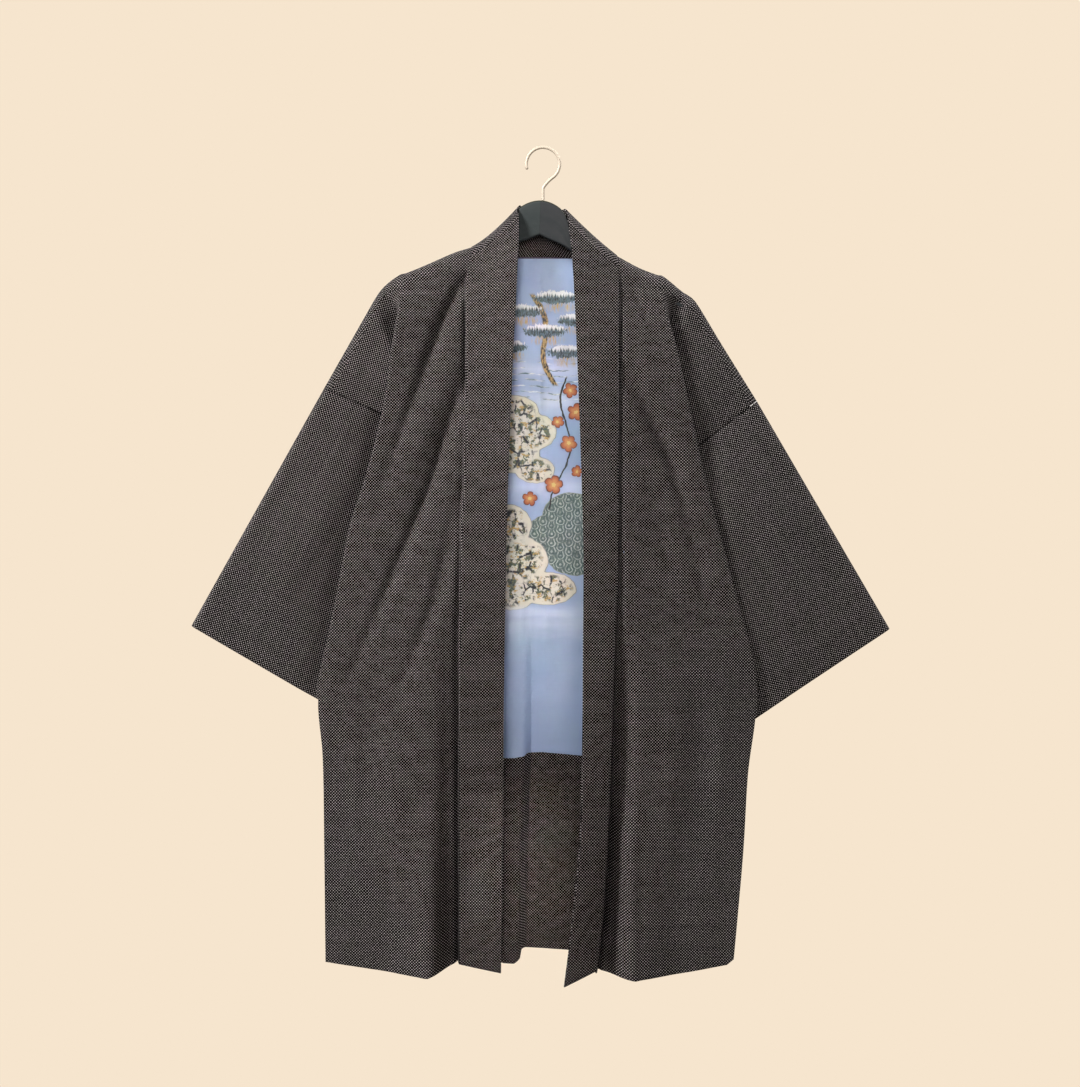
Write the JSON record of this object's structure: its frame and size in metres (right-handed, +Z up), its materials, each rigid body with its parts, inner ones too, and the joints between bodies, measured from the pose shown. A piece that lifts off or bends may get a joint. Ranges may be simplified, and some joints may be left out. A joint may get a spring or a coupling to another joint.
{
  "type": "haori jacket on a hanger",
  "caption": "Open-front haori jacket of dark dotted cloth with wide square sleeves, a long collar band and a pale blue back lining, hanging on a hanger.",
  "frame": {"origin": "the point inside the top of the hook where a rail carries it", "axes": "+Z up, -Y out of the garment's front, +X towards its right side as seen from the front"},
  "size_m": [0.8382, 0.1219, 0.9963],
  "materials": {
    "outer_cloth": "dark brown silk with a fine woven lattice of pale dots",
    "lining": "smooth periwinkle lining silk with a painted design, slightly glossy",
    "hanger": "satin dark grey lacquer",
    "hook_metal": "pale polished wire"
  },
  "bodies": {
    "root": {"body_left": "outer_cloth", "body_right": "outer_cloth", "sleeve_left": "outer_cloth", "sleeve_right": "outer_cloth", "gore_left": "outer_cloth", "gore_right": "outer_cloth", "collar": "outer_cloth", "back_lining": "lining", "back_facing": "outer_cloth", "hanger": "hanger", "hook": "hook_metal"}
  },
  "joints": []
}
